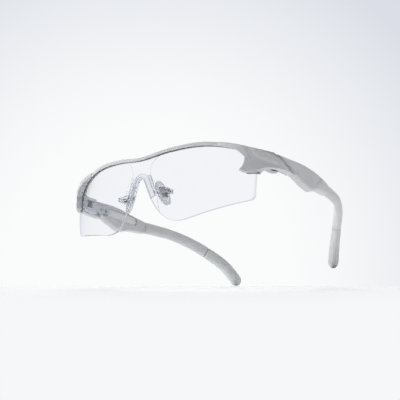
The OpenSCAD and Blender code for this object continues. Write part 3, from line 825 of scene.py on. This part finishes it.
@dataclass
class Hinge:
    """One folding hinge: bracket, knuckle, pin and screws."""

    shop: Shop
    axis: Pair = (60.0, 37.989)
    height: float = 30.2
    pin_radius: float = 0.8
    pin_low: float = 26.38
    pin_high: float = 34.02
    pin_shorter: float = 0.06
    pin_head: float = 1.54
    pin_head_height: float = 0.5
    screw_radius: float = 0.7
    screw_head: float = 1.19
    screw_head_height: float = 0.6
    bracket_screw: Pair = (59.80, 29.77)
    bracket_screw_angle: float = 46.406
    bracket_seat: float = 1.62
    bracket_screw_length: float = 3.55
    knuckle_screws: Pair = (46.189, 50.189)
    knuckle_face: float = 59.6
    knuckle_screw_length: float = 4.13
    crown: float = 0.12
    crown_inset: float = 0.18
    slot_size: Triple = (1.3, 0.24, 0.9)
    first_turn: float = 0.4
    level: float = 0.9

    def build(self) -> None:
        """Makes and dresses the hinges of both sides."""
        for side, pin in Bench.both(self.pin()).items():
            self.shop.fit(pin, STEEL, "front", f"hinge_pin_{side.word}")
            self.shop.keep(f"hinge_bracket_{side.word}", STEEL)
            self.shop.keep(f"temple_knuckle_{side.word}", STEEL)
        self.small_screws()

    def screw(self, name: str, head: float, head_height: float, shank: float, length: float) -> Piece:
        """A screw at the origin, its head's top at z = 0 and its shank downwards.

        Args:
            name: The screw's name.
            head: Radius of the head.
            head_height: Height of the head.
            shank: Radius of the shank.
            length: Length of the shank.

        Returns:
            The screw.
        """
        Bench.clear()
        bpy.ops.mesh.primitive_cylinder_add(vertices=32, radius=head * MM, depth=head_height * MM,
                                            location=(0, 0, 0))
        screw = bpy.context.object
        screw.name = screw.data.name = name
        screw.data.transform(Matrix.Translation((0, 0, -head_height / 2 * MM)))
        Bench.edit(screw)
        Bench.select(screw, lambda f: f.normal.z < -self.level)
        bpy.ops.mesh.inset(thickness=(head - shank) * MM)
        bpy.ops.mesh.extrude_region_move(TRANSFORM_OT_translate={"value": (0, 0, -length * MM)})
        Bench.select(screw, lambda f: f.normal.z > self.level)
        bpy.ops.mesh.inset(thickness=head * self.crown_inset * MM)
        bpy.ops.transform.translate(value=(0, 0, head_height * self.crown * MM))
        bpy.ops.object.mode_set(mode="OBJECT")
        screw.data.transform(Matrix.Translation((0, 0, -head_height * self.crown * MM)))
        self.cut_slots(screw, head, head_height)
        bpy.ops.object.shade_smooth_by_angle(angle=math.radians(35))
        return screw

    def cut_slots(self, screw: Piece, head: float, head_height: float) -> None:
        """Cuts the driver's crossed slots into a screw's head.

        Args:
            screw: The screw.
            head: Radius of the head.
            head_height: Height of the head.
        """
        Bench.clear()
        bpy.ops.mesh.primitive_cube_add(size=1, location=(0, 0, 0))
        cutter = bpy.context.object
        long, wide, deep = self.slot_size
        cutter.scale = (head * long * MM, head * wide * MM, head_height * deep * MM)
        bpy.ops.object.transform_apply(scale=True)
        Bench.edit(cutter)
        bpy.ops.mesh.duplicate()
        bpy.ops.transform.rotate(value=math.pi / 2, orient_axis="Z", center_override=(0, 0, 0))
        Bench.apply(screw, "BOOLEAN", object=cutter, operation="DIFFERENCE", solver="EXACT", use_self=True)
        bpy.data.objects.remove(cutter)

    def pin(self) -> Piece:
        """The left hinge's pin, with its head on top.

        Returns:
            The pin.
        """
        length = self.pin_high - self.pin_low - self.pin_shorter
        pin = self.screw("hinge_screw_left", self.pin_head, self.pin_head_height, self.pin_radius, length)
        pin.data.transform(Matrix.Translation(place(*self.axis, self.pin_high + self.pin_head_height)))
        return pin

    def small_screws(self) -> None:
        """Makes one screw of each length, and copies it to all the places that have one."""
        sizes = (self.screw_head, self.screw_head_height, self.screw_radius)
        models = [self.screw("small_screw", *sizes, length)
                  for length in (self.bracket_screw_length, self.knuckle_screw_length)]
        angle = math.radians(self.bracket_screw_angle)
        out = Vector((math.sin(angle), -math.cos(angle), 0))
        sunk = (self.bracket_seat + self.screw_head_height) * MM
        seats = [(place(*self.bracket_screw, self.height) - out * sunk, -out)]
        seats += [(place(self.knuckle_face - self.screw_head_height, y, self.height), Vector((-1, 0, 0)))
                  for y in self.knuckle_screws]
        for side in Side:
            mirror = Matrix.Diagonal((side.value, 1, 1))
            for number, (spot, facing) in enumerate(seats):
                name, body, node = f"bracket_screw_{side.word}", "front", "bracket_screws"
                if number:
                    name, body = f"knuckle_screw_{side.word}_{number}", f"temple_{side.word}"
                    node = f"knuckle_screws_{side.word}"
                copy = linked(name, models[min(number, 1)].data.copy())
                turn = (mirror @ facing).to_track_quat("Z", "Y").to_matrix().to_4x4()
                own_turn = Matrix.Rotation(self.first_turn + number, 4, "Z")
                copy.data.transform(Matrix.Translation(mirror @ spot) @ turn @ own_turn)
                self.shop.fit(copy, STEEL, body, node)
        for model in models:
            bpy.data.objects.remove(model)


@dataclass
class Temple:
    """The temples' shells and inlays."""

    shop: Shop
    skin_grain: float = 0.2
    easing: int = 9
    inner: float = 61.6
    inlay_end: float = 81.989
    inlay_length: float = 29.0
    inlay_height: float = 4.8
    inlay_middle: float = 31.1
    inlay_sunk: float = 0.25
    inlay_depth: float = 1.0
    inlay_wall: float = 0.82
    inlay_steps: Line = ((0.12, 0.1), (0.25, 0.06), (0.9, 0.02))
    slit: Line = ((32.8, 35.2), (49.4, 26.5))
    slit_width: float = 1.5
    slit_depth: float = 1.1
    facet_width: float = 3.6
    facet_depth: float = 0.3
    second_line: Line = ((37.6, 34.4), (42.0, 32.4), (47.6, 29.8), (52.4, 28.6))
    end_notch: Line = ((73.4, 27.8), (76.6, 29.8), (79.3, 31.7), (82.0, 34.5))
    line_depth: float = 0.5
    notch_depth: float = 0.6
    groove_width: float = 0.9

    def build(self) -> None:
        """Makes and dresses both temples' shells and inlays."""
        shell = self.shop.frame["nodes"]["temple_shell_left"]
        left = Bench.skin_of("temple_skin_left", shell, self.skin_grain, self.easing)
        Bench.press(left, self.facet)
        skins, inlays = Bench.both(left), Bench.both(self.inlay())
        for side in Side:
            body = f"temple_{side.word}"
            self.shop.fit(skins[side], WHITE_PLASTIC, body, f"temple_shell_{side.word}")
            self.shop.fit(inlays[side], SOFT_INLAY, body, f"temple_inlay_{side.word}")

    def facet(self, spot: Vector) -> float:
        """The steep edge behind the slit, the slanting facet with its line, and the notch at the end.

        Args:
            spot: A point of the shell's outer face.

        Returns:
            How deep the face lies there.
        """
        behind = -below(spot, self.slit)
        depth = self.slit_depth * ease(behind, self.slit_width, 0.0)
        depth += self.facet_depth * min(max(1 - behind / self.facet_width, 0.0), 1.0)
        for line, deep in ((self.second_line, self.line_depth), (self.end_notch, self.notch_depth)):
            depth += deep * ease(abs(below(spot, line)), self.groove_width, 0.0)
        return depth

    def inlay(self) -> Piece:
        """The left inlay: a long soft pill with a raised middle.

        Returns:
            The inlay.
        """
        r = self.inlay_height / 2
        half = self.inlay_length / 2 - r
        x = self.inner + self.inlay_sunk + self.inlay_depth
        Bench.clear()
        bpy.ops.mesh.primitive_circle_add(vertices=48, radius=r * MM, fill_type="NGON", location=(0, 0, 0))
        inlay = bpy.context.object
        inlay.name = inlay.data.name = "inlay_skin_left"
        Bench.edit(inlay)
        bpy.ops.transform.rotate(value=math.pi / 2, orient_axis="Y", center_override=(0, 0, 0))
        for way in (1, -1):
            bpy.ops.mesh.select_all(action="DESELECT")
            for vertex in bmesh.from_edit_mesh(inlay.data).verts:
                vertex.select_set(vertex.co.y * way > 0.01 * r * MM)
            bmesh.update_edit_mesh(inlay.data)
            bpy.ops.transform.translate(value=(0, way * half * MM, 0))
        bpy.ops.mesh.select_all(action="SELECT")
        bpy.ops.transform.translate(value=place(x, self.inlay_end - r - half, self.inlay_middle))
        wall = (-self.inlay_depth * self.inlay_wall * MM, 0, 0)
        bpy.ops.mesh.extrude_region_move(TRANSFORM_OT_translate={"value": wall})
        for inset, depth in self.inlay_steps:
            bpy.ops.mesh.inset(thickness=inset * MM)
            bpy.ops.transform.translate(value=(-depth * MM, 0, 0))
        Bench.close()
        bpy.ops.object.shade_smooth_by_angle(angle=math.radians(40))
        return inlay


@dataclass
class Stem:
    """The slim curved stems with their steel cores, and the soft ear tips.

    shape gives shares of the way from start to end: back, inwards and down. The lists for ends give how
    far along a section lies, and its shares of the full width and height.
    """

    shop: Shop
    start: Triple = (61.7527, 89.1391, 29.2)
    end: Triple = (34.2, 146.4, 3.4)
    shape: tuple[Triple, ...] = (
        (0, 0, 0), (0.225, 0.087, 0.004), (0.399, 0.171, 0.031), (0.574, 0.341, 0.147),
        (0.74, 0.583, 0.368), (0.906, 0.84, 0.674), (1, 1, 1))
    steps: int = 4
    grip_from: int = 16
    height: float = 7.2
    waist: float = 0.5
    thickness: float = 4.8
    thickening: float = 0.3
    front_end: tuple[Triple, ...] = ((0.0, 0.86, 0.9), (0.5, 1.0, 1.0))
    grip_end: tuple[Triple, ...] = ((-0.3, 1.0, 1.0), (-0.1, 0.96, 0.97))
    tip_start: tuple[Triple, ...] = ((0.0, 0.96, 0.97), (0.25, 1.0, 1.0))
    tip_width: float = 7.2
    tip_end: float = 6.4
    tip_round: tuple[float, ...] = (25, 50, 70, 84)
    collar: float = 0.4

    def path(self) -> list[Vector]:
        """The stem's centre line.

        Returns:
            Its points, from the shell to the tip's end.
        """
        points = []
        for back, inwards, down in self.shape:
            shares = zip(self.start, self.end, (inwards, back, down))
            points.append(place(*(a + (b - a) * share for a, b, share in shares)))
        return through(points, self.steps)

    @staticmethod
    def heading(path: Sequence[Vector], i: int) -> Vector:
        """The path's direction at its point i."""
        ahead = path[min(i + 1, len(path) - 1)] - path[i - 1] if i else Vector((0, 1, 0))
        return ahead.normalized()

    def sections(self, path: Sequence[Vector], i: int, wide: float, high: float,
                 ends: dict[int, tuple[Triple, ...]]) -> list[Station]:
        """The sections at one point of the path.

        Args:
            path: The centre line.
            i: The point's number.
            wide: Full width there.
            high: Full height there.
            ends: The lists for the points at which the piece ends.

        Returns:
            The sections.
        """
        heading = self.heading(path, i)
        return [Station(path[i] + heading * along * MM, heading, wide * MM * w, high * MM * h)
                for along, w, h in ends.get(i, ((0.0, 1.0, 1.0),))]

    def build(self) -> None:
        """Makes and dresses both stems and tips."""
        path = self.path()
        stems, tips = Bench.both(self.stem(path)), Bench.both(self.tip(path))
        for side in Side:
            body = f"temple_{side.word}"
            self.shop.fit(stems[side], WHITE_PLASTIC, body, f"ear_stem_{side.word}")
            self.shop.fit(tips[side], TIP_RUBBER, body, f"ear_tip_{side.word}")
            self.shop.keep(f"stem_core_{side.word}", STEEL)

    def stem(self, path: Sequence[Vector]) -> Piece:
        """The left stem, its front end nearly flat against the shell.

        Args:
            path: The centre line.

        Returns:
            The stem.
        """
        stations = []
        for i in range(self.grip_from + 1):
            swing = math.pi * i / self.grip_from
            wide = self.thickness - self.thickening * math.cos(swing)
            high = self.height - self.waist * math.sin(swing)
            ends = {0: self.front_end, self.grip_from: self.grip_end}
            stations += self.sections(path, i, wide, high, ends)
        stem = Bench.sweep("stem_skin_left", stations)
        Bench.smooth(stem, 2)
        return stem

    def tip(self, path: Sequence[Vector]) -> Piece:
        """The left ear tip, with a soft collar at the stem and a round end.

        Args:
            path: The centre line.

        Returns:
            The tip.
        """
        last = len(path) - 1
        thick = self.thickness + self.collar
        stations = []
        for i in range(self.grip_from, last + 1):
            share = (i - self.grip_from) / (last - self.grip_from)
            wide = thick + (self.tip_end - thick) * share
            high = self.height + (self.tip_width - self.height) * share
            stations += self.sections(path, i, wide, high, {self.grip_from: self.tip_start})
        heading = self.heading(path, last)
        for angle in self.tip_round:
            along, across = math.sin(math.radians(angle)), math.cos(math.radians(angle))
            stations.append(Station(path[last] + heading * self.tip_width / 2 * along * MM, heading,
                                    self.tip_end * across * MM, self.tip_width * across * MM))
        tip = Bench.sweep("tip_skin_left", stations)
        Bench.smooth(tip, 2)
        for vertex in tip.data.vertices:
            vertex.co.z = max(vertex.co.z, 0.0)
        return tip


# The studio


@dataclass(frozen=True)
class Softbox:
    """A square soft lamp, placed as the photographer sees it; size and distance in metres."""

    name: str
    towards: Triple
    power: float
    size: float = 2.5
    distance: float = 4.0


@dataclass
class Studio:
    """Camera, light and ground, in metres."""

    camera_place: Triple = (0.42959, -0.66347, -0.20649)
    right: Triple = (0.8280, 0.5601, -0.0264)
    up: Triple = (0.1827, -0.2250, 0.9571)
    forward: Triple = (-0.5301, 0.7973, 0.2887)
    lens_mm: float = 130.8
    sensor_mm: float = 36.0
    nearest_seen: float = 0.01
    glasses_middle: Triple = (0.0, 0.0, 0.02)
    ground_normal: Triple = (0.165, -0.198, 0.967)
    ground_contact: Triple = (-0.034, 0.0735, -0.0001)
    ground_top: float = 0.0004
    ground_colour: Triple = (0.93, 0.94, 0.945)
    ground_glow: Triple = (0.16, 0.165, 0.17)
    ground_fade: Pair = (0.05, 0.3)
    level_height: float = -0.0002
    level_share: float = 0.86
    level_fade: Pair = (0.2, 0.8)
    reach: float = 6.0
    surround_light_tone: Triple = (0.958, 0.972, 0.972)
    surround_dark_tone: Triple = (0.708, 0.73, 0.791)
    surround_middle: Pair = (-0.034, -0.048)
    surround_fade: Pair = (0.9954, 0.9726)
    far_ground: Triple = (0.915, 0.93, 0.94)
    far_fade: Pair = (0.174, 0.052)
    surround_light: float = 0.12
    surround_light_colour: Triple = (0.97, 0.985, 1.0)
    softboxes: tuple[Softbox, ...] = (
        Softbox("left_softbox", (-1, 0.14, -0.2), 140.0),
        Softbox("top_softbox", (0, 1, 0), 50.0),
        Softbox("back_softbox", (0, 0.1, 1), 130.0),
        Softbox("back_top_softbox", (0, 0.7, 0.7), 36.0),
        Softbox("back_right_softbox", (0.7, 0.1, 0.7), 22.0),
    )

    def build(self) -> None:
        """Sets up the whole studio."""
        bpy.context.scene.view_settings.view_transform = "Standard"
        self.camera()
        self.world()
        self.lamps()
        self.grounds()

    def camera(self) -> None:
        """Puts the camera at the photograph's viewpoint."""
        data = bpy.data.cameras.new("camera")
        data.lens, data.sensor_width, data.clip_start = self.lens_mm, self.sensor_mm, self.nearest_seen
        camera = linked("camera", data)
        axes = Matrix((self.right, self.up, -Vector(self.forward))).transposed()
        camera.matrix_world = Matrix.Translation(self.camera_place) @ axes.to_4x4()
        bpy.context.scene.camera = camera

    def world(self) -> None:
        """A surround that is brightest behind the glasses and has the far ground's tone low down."""
        world = bpy.data.worlds.new("surround")
        bpy.context.scene.world = world
        g = Graph(world)
        to_right, to_top = self.surround_middle
        brightest = Vector(self.forward) + to_right * Vector(self.right) + to_top * Vector(self.up)
        towards = g.add("ShaderNodeTexCoord").outputs["Generated"]
        dot = g.add("ShaderNodeVectorMath", towards, operation="DOT_PRODUCT")
        dot.inputs[1].default_value = brightest.normalized()
        height = g.add("ShaderNodeSeparateXYZ", towards).outputs["Z"]
        away = g.spread(dot.outputs["Value"], 0, 1, *self.surround_fade)
        tone = g.blend(away, self.surround_light_tone, self.surround_dark_tone)
        tone = g.blend(g.spread(height, 0, 1, *self.far_fade), tone, self.far_ground)
        light = g.add("ShaderNodeBackground")
        light.inputs["Color"].default_value = (*self.surround_light_colour, 1)
        light.inputs["Strength"].default_value = self.surround_light
        seen = g.add("ShaderNodeBackground", tone)
        both = g.add("ShaderNodeMixShader", g.seen(), light.outputs[0], seen.outputs[0])
        g.add("ShaderNodeOutputWorld", both.outputs[0])

    def lamps(self) -> None:
        """Hangs the lamps round the glasses, each turned to their middle."""
        axes = Matrix((self.right, self.up, self.forward)).transposed()
        for lamp in self.softboxes:
            data = bpy.data.lights.new(lamp.name, "AREA")
            data.size, data.energy = lamp.size, lamp.power
            hung = linked(lamp.name, data)
            away = axes @ Vector(lamp.towards)
            spot = Vector(self.glasses_middle) + away.normalized() * lamp.distance
            hung.matrix_world = Matrix.Translation(spot) @ away.to_track_quat("Z", "Y").to_matrix().to_4x4()
            hung.visible_camera = hung.visible_glossy = hung.visible_transmission = False

    def ground(self, name: str, corners: Sequence[Vector], glow_here: Triple, shown: float,
               centre: Vector, fade: Pair) -> None:
        """A one-sided pale ground, seen from its upper side only, that fades to one even tone far away.

        Args:
            name: Its name.
            corners: Its corners, counter-clockwise from above.
            glow_here: What it adds to its lit tone where it is seen.
            shown: Share of its lit tone that is seen.
            centre: Where the fading is measured from.
            fade: Distances at which it starts to fade and has faded.
        """
        mesh = bpy.data.meshes.new(name)
        mesh.from_pydata(corners, [], [tuple(range(len(corners)))])
        ground = linked(name, mesh)
        g = Graph(bpy.data.materials.new(name))
        seen = g.seen()
        tone = g.blend(seen, self.ground_colour, tuple(c * shown for c in self.ground_colour))
        shade = g.add("ShaderNodeBsdfDiffuse", tone)
        glow, plain = g.add("ShaderNodeEmission"), g.add("ShaderNodeEmission")
        glow.inputs["Color"].default_value = (*glow_here, 1)
        plain.inputs["Color"].default_value = (*self.far_ground, 1)
        g.join(seen, glow.inputs["Strength"])
        lit = g.add("ShaderNodeAddShader", shade.outputs[0], glow.outputs[0])
        away = g.add("ShaderNodeVectorMath", g.add("ShaderNodeTexCoord").outputs["Object"],
                     operation="DISTANCE")
        away.inputs[1].default_value = centre
        faded = g.add("ShaderNodeMath", g.spread(away.outputs["Value"], 0, 1, *fade), seen,
                      operation="MULTIPLY")
        upper = g.add("ShaderNodeMixShader", faded.outputs[0], lit.outputs[0], plain.outputs[0])
        below_it = g.add("ShaderNodeNewGeometry").outputs["Backfacing"]
        clear = g.add("ShaderNodeBsdfTransparent").outputs[0]
        whole = g.add("ShaderNodeMixShader", below_it, upper.outputs[0], clear)
        g.add("ShaderNodeOutputMaterial", whole.outputs[0])
        mesh.materials.append(g.owner)

    def grounds(self) -> None:
        """The level ground that the glasses stand on, and the slanting one that the camera's view shows."""
        square = ((-1, -1), (1, -1), (1, 1), (-1, 1))
        level = [Vector((x * self.reach, y * self.reach, self.level_height)) for x, y in square]
        self.ground("level_ground", level, (0.0, 0.0, 0.0), self.level_share, Vector(), self.level_fade)
        normal = Vector(self.ground_normal).normalized()
        uphill = Vector((-normal.x, -normal.y, 0)).normalized()
        uphill = (uphill - normal * uphill.dot(normal)).normalized()
        across = normal.cross(uphill) * self.reach
        spot = Vector(self.ground_contact)
        foot, top = spot - uphill, spot - uphill * self.ground_top
        slanting = [foot + across, foot - across, top - across, top + across]
        self.ground("slanting_ground", slanting, self.ground_glow, 1.0, spot, self.ground_fade)


def main() -> None:
    """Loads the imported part, dresses it and sets up the studio."""
    logging.basicConfig(level=logging.INFO, format="%(name)s: %(message)s")
    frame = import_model()
    shop = Shop(frame)
    Front(shop).build()
    NosePads(shop).build()
    Hinge(shop).build()
    Temple(shop).build()
    Stem(shop).build()
    Studio().build()


if __name__ == "__main__":
    main()
